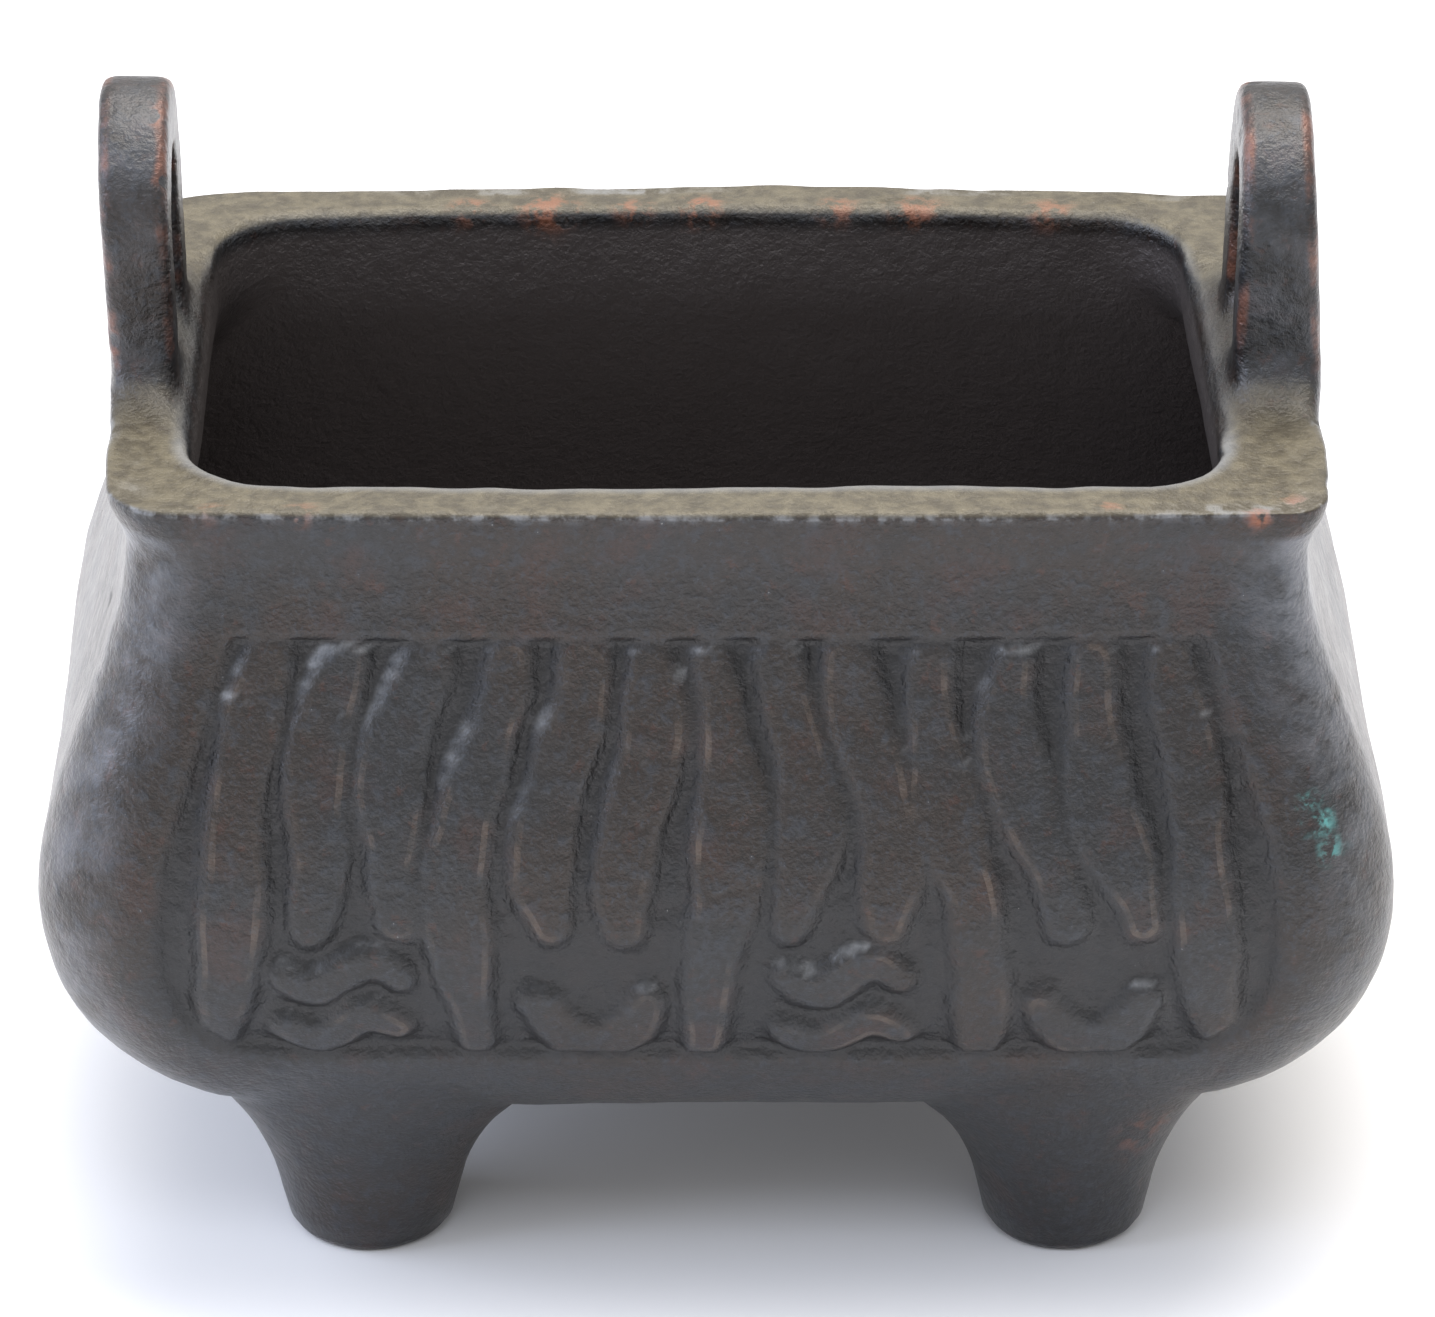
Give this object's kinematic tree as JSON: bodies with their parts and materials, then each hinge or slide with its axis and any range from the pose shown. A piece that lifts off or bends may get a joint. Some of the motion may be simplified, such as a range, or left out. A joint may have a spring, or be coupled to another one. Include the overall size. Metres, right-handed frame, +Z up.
{
  "type": "bronze incense burner",
  "caption": "Small cast bronze incense burner: a swelling rectangular open bowl on stub feet, with upright loop handles and relief panels of wavy strokes",
  "frame": {"origin": "centre of the bounding box on the ground under the feet", "axes": "+Z up; X runs along the burner from the left handle to the right; -Y is the front, with the fuller relief panel"},
  "size_m": [0.1002, 0.0676, 0.086],
  "materials": {
    "bronze": "dark brown patinated cast bronze, worn warmer along its edges, with a dusty rim and a few green specks"
  },
  "bodies": {
    "root": {"incense_burner": "bronze"}
  },
  "joints": []
}
